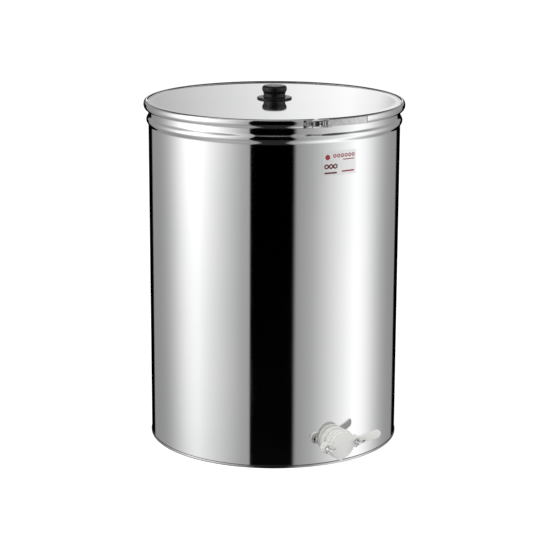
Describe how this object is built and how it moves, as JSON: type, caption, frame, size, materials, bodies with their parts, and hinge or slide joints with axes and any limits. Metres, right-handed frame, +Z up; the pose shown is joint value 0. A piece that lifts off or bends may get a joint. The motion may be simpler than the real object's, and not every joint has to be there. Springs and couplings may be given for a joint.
{
  "type": "honey settling tank",
  "caption": "Polished steel drum with a lift-off lid under a lever-latched closing ring, a black lid knob and a swing-blade nylon gate at the foot of the wall for drawing off honey.",
  "frame": {"origin": "on the ground, at the tank's axis", "axes": "+Z up along the tank's axis; the gate, the latch and the label face -Y"},
  "size_m": [0.5449, 0.5896, 0.7482],
  "materials": {
    "polished_steel": "polished",
    "latch_steel": "satin",
    "bolt_steel": "gloss",
    "white_nylon": "satin",
    "seal_rubber": "matte",
    "lid_rubber": "matte",
    "black_plastic": "satin",
    "label_film": "satin"
  },
  "bodies": {
    "tank": {"tank_shell": "polished_steel", "tank_bottom": "polished_steel", "label": "label_film", "gate_body": "white_nylon", "gate_outer_seal": "seal_rubber", "gate_inner_seal": "seal_rubber", "gate_locknut": "white_nylon", "gate_face_seal": "seal_rubber", "pivot_bolt": "bolt_steel", "clamp_bolt": "bolt_steel"},
    "lid": {"lid_plate": "polished_steel", "lid_seal": "lid_rubber", "closing_ring": "polished_steel", "catch_bracket": "latch_steel", "lever_bracket": "latch_steel", "bracket_rivets": "latch_steel", "lever_pin": "latch_steel", "lid_knob": "black_plastic", "knob_washer": "bolt_steel", "knob_screw": "bolt_steel"},
    "lever": {"latch_lever": "latch_steel", "link_pin": "latch_steel"},
    "link": {"latch_link": "latch_steel"},
    "blade": {"gate_blade": "white_nylon"},
    "pivot_washer": {"pivot_washer": "bolt_steel"},
    "pivot_nut": {"pivot_wing_nut": "bolt_steel"},
    "clamp_washer": {"clamp_washer": "bolt_steel"},
    "clamp_nut": {"clamp_wing_nut": "bolt_steel"}
  },
  "joints": [
    {"name": "lid_lift", "type": "slide", "parent": "tank", "child": "lid", "axis": [0, 0, 1], "range_m": [0, 0.3]},
    {"name": "lever_swing", "type": "hinge", "parent": "lid", "child": "lever", "pos_m": [-0.0369, -0.27655, 0.711], "axis": [0, 0, -1], "range_deg": [0, 100]},
    {"name": "link_swing", "type": "hinge", "parent": "lever", "child": "link", "pos_m": [-0.02996, -0.27748, 0.711], "axis": [0, 0, -1], "range_deg": [-84, 0]},
    {"name": "blade_swing", "type": "hinge", "parent": "tank", "child": "blade", "pos_m": [-0.03392, -0.2986, 0.04963], "axis": [0, -1, 0], "range_deg": [0, 95]},
    {"name": "pivot_washer_slide", "type": "slide", "parent": "tank", "child": "pivot_washer", "axis": [0, -1, 0], "range_m": [0, 0.002]},
    {"name": "pivot_nut_turn", "type": "hinge", "parent": "pivot_washer", "child": "pivot_nut", "pos_m": [-0.03392, -0.3031, 0.04963], "axis": [0, -1, 0], "range_deg": [0, 720]},
    {"name": "clamp_washer_slide", "type": "slide", "parent": "tank", "child": "clamp_washer", "axis": [0, -1, 0], "range_m": [0, 0.002]},
    {"name": "clamp_nut_turn", "type": "hinge", "parent": "clamp_washer", "child": "clamp_nut", "pos_m": [0.03392, -0.3031, 0.05437], "axis": [0, -1, 0], "range_deg": [0, 720]}
  ],
  "couplings": [
    {"joint": "link_swing", "follows": "lever_swing", "ratio": -0.83},
    {"joint": "pivot_washer_slide", "follows": "pivot_nut_turn", "m_per_rad": 0.000159},
    {"joint": "clamp_washer_slide", "follows": "clamp_nut_turn", "m_per_rad": 0.000159}
  ]
}
